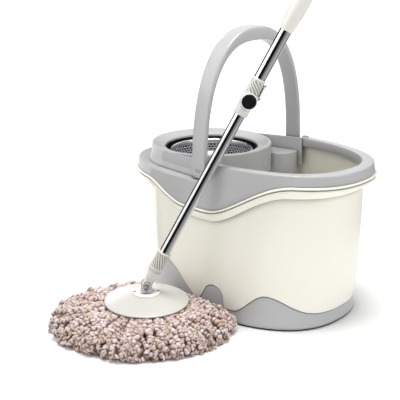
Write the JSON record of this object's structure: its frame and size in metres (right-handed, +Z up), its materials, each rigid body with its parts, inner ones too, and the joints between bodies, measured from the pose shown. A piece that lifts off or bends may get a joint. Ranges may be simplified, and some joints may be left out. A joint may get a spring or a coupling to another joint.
{
  "type": "spin mop set",
  "caption": "Oval cleaning bucket with splash rim, spin basket in a round collar and carrying arch, with a chenille mop on a tilting telescopic push-spin pole.",
  "frame": {"origin": "on the floor at the centre of the bucket's underside, under the middle of the rim oval", "axes": "+X along the bucket from the spinner to the wash compartment, +Y to the back, away from the mop, +Z up"},
  "size_m": [0.4802, 0.5498, 0.7],
  "materials": {
    "cream_plastic": "satin gloss",
    "grey_plastic": "satin",
    "base_grey": "satin",
    "white_plastic": "gloss",
    "black_plastic": "satin",
    "rubber_pad": "matt",
    "chrome_tube": "polished",
    "basket_steel": "polished",
    "zinc_hardware": "satin",
    "yarn": "chenille"
  },
  "bodies": {
    "bucket": {"tub": "cream_plastic", "top_rim": "grey_plastic", "spinner_insert": "grey_plastic", "throat_liner": "black_plastic", "insert_clips": "grey_plastic", "base_skirt": "base_grey", "base_pad": "rubber_pad", "spinner_pillar": "grey_plastic", "basket_shaft": "zinc_hardware", "shaft_washer": "zinc_hardware", "handle_pins": "zinc_hardware"},
    "carry_handle": {"carry_handle": "grey_plastic"},
    "spin_basket": {"basket_bowl": "basket_steel", "basket_ring": "basket_steel", "basket_hub": "white_plastic", "basket_bush": "black_plastic", "hub_screws": "zinc_hardware"},
    "mop_head": {"mop_plate": "cream_plastic", "yoke": "basket_steel", "yoke_ring": "white_plastic", "ring_screws": "zinc_hardware", "yoke_bolt": "zinc_hardware", "yoke_nut": "zinc_hardware", "yoke_washers": "white_plastic", "refill_ring": "white_plastic", "mop_yarn": "yarn"},
    "pole_lower": {"lower_socket": "cream_plastic", "lower_tube": "chrome_tube", "drive_nut": "black_plastic"},
    "lower_sleeve": {"lower_sleeve": "cream_plastic"},
    "pole_slider": {"guide_bush": "black_plastic"},
    "pole_upper": {"upper_tube": "chrome_tube", "mid_housing": "cream_plastic", "button_ring": "white_plastic", "button_spring": "zinc_hardware", "collar_band": "cream_plastic", "lever_pin": "zinc_hardware", "twisted_rod": "zinc_hardware", "rod_anchor": "black_plastic", "grip": "cream_plastic", "hang_cap": "grey_plastic"},
    "lock_button": {"lock_button": "black_plastic"},
    "lock_collar": {"lock_collar": "cream_plastic"},
    "clip_lever": {"clip_lever": "white_plastic"}
  },
  "joints": [
    {"name": "handle_swing", "type": "hinge", "parent": "bucket", "child": "carry_handle", "pos_m": [-0.003, 0, 0.2642], "axis": [0, -1, 0], "range_deg": [0, 75]},
    {"name": "basket_spin", "type": "hinge", "parent": "bucket", "child": "spin_basket", "pos_m": [-0.095, 0, 0.2], "axis": [0, 0, 1], "continuous": true},
    {"name": "mop_lift", "type": "slide", "parent": "bucket", "child": "mop_head", "axis": [0, -0.2873, 0.9578], "range_m": [0, 0.35]},
    {"name": "pole_tilt", "type": "hinge", "parent": "mop_head", "child": "pole_lower", "pos_m": [-0.0348, -0.2351, 0.0698], "axis": [0.7254, -0.6884, 0], "range_deg": [0, 100]},
    {"name": "sleeve_twist", "type": "hinge", "parent": "pole_lower", "child": "lower_sleeve", "pos_m": [-0.01864, -0.21807, 0.11395], "axis": [0.3232, 0.3405, 0.8829], "range_deg": [0, 90]},
    {"name": "pole_stroke", "type": "slide", "parent": "pole_lower", "child": "pole_slider", "axis": [0.3232, 0.3405, 0.8829], "range_m": [-0.08, 0.18]},
    {"name": "pole_spin", "type": "hinge", "parent": "pole_slider", "child": "pole_upper", "pos_m": [0.09446, -0.09888, 0.42298], "axis": [0.3232, 0.3405, 0.8829], "range_deg": [-400, 880]},
    {"name": "button_press", "type": "slide", "parent": "pole_upper", "child": "lock_button", "axis": [-0.7254, 0.6884, 0], "range_m": [0, 0.0022], "stiffness_N_per_m": 400, "springref_m": -0.002, "deforming": ["button_spring"]},
    {"name": "collar_twist", "type": "hinge", "parent": "pole_upper", "child": "lock_collar", "pos_m": [0.09059, -0.10297, 0.41238], "axis": [0.3232, 0.3405, 0.8829], "range_deg": [0, 90]},
    {"name": "lever_swing", "type": "hinge", "parent": "pole_upper", "child": "clip_lever", "pos_m": [0.09527, -0.09804, 0.3945], "axis": [-0.7254, 0.6884, 0], "range_deg": [0, 40]}
  ],
  "couplings": [
    {"joint": "pole_spin", "follows": "pole_stroke", "rad_per_m": 83.776}
  ]
}
